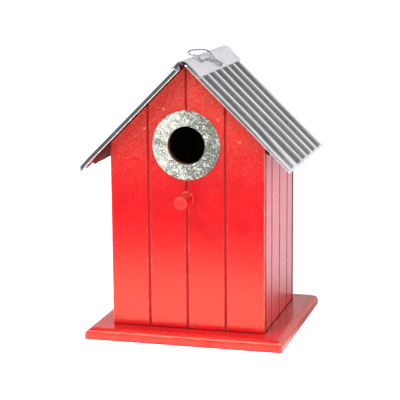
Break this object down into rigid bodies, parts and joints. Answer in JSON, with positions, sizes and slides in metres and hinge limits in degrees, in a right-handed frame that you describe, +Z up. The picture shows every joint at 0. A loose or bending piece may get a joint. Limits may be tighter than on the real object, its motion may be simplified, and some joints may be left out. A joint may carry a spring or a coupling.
{
  "type": "birdhouse",
  "caption": "Painted wooden birdhouse with grooved walls, corrugated zinc roof, ridge cap, ringed round entrance, perch, wire hanging loop and pivoting clean-out cover.",
  "frame": {"origin": "centre of the base board's underside", "axes": "+Z up, -Y out of the front with the entrance, +X to the right seen from the front"},
  "size_m": [0.1734, 0.148, 0.2275],
  "materials": {
    "red_paint": "glossy red paint over wood",
    "raw_wood": "bare sawn softwood",
    "corrugated_zinc": "semi-bright galvanised sheet",
    "zinc_cap": "matt weathered zinc",
    "galvanised_ring": "spangled galvanised sheet",
    "nail_steel": "bright round nail heads",
    "screw_steel": "zinc-plated",
    "steel_wire": "dull dark steel wire"
  },
  "bodies": {
    "house": {"base_plate": "red_paint", "front_panel": "red_paint", "back_panel": "red_paint", "left_side_wall": "red_paint", "right_side_wall": "red_paint", "left_roof_board": "red_paint", "right_roof_board": "red_paint", "front_left_gable_cleat": "raw_wood", "back_left_gable_cleat": "raw_wood", "front_right_gable_cleat": "raw_wood", "back_right_gable_cleat": "raw_wood", "left_roof_sheet": "corrugated_zinc", "right_roof_sheet": "corrugated_zinc", "ridge_cap": "zinc_cap", "entrance_ring": "galvanised_ring", "entrance_ring_nails": "nail_steel", "perch": "red_paint", "front_panel_pins": "red_paint", "back_panel_pins": "red_paint", "base_screws": "screw_steel", "loop_wire_tail": "steel_wire", "clean_out_screw": "screw_steel"},
    "loop": {"hanging_loop": "steel_wire"},
    "cover": {"clean_out_cover": "red_paint"}
  },
  "joints": [
    {"name": "loop_raise", "type": "hinge", "parent": "house", "child": "loop", "pos_m": [0.01411, 0.0028, 0.21346], "axis": [-0.7071, 0, 0.7071], "range_deg": [0, 90]},
    {"name": "cover_pivot", "type": "hinge", "parent": "house", "child": "cover", "pos_m": [0, 0.0584, 0.076], "axis": [0, 1, 0], "continuous": true}
  ]
}
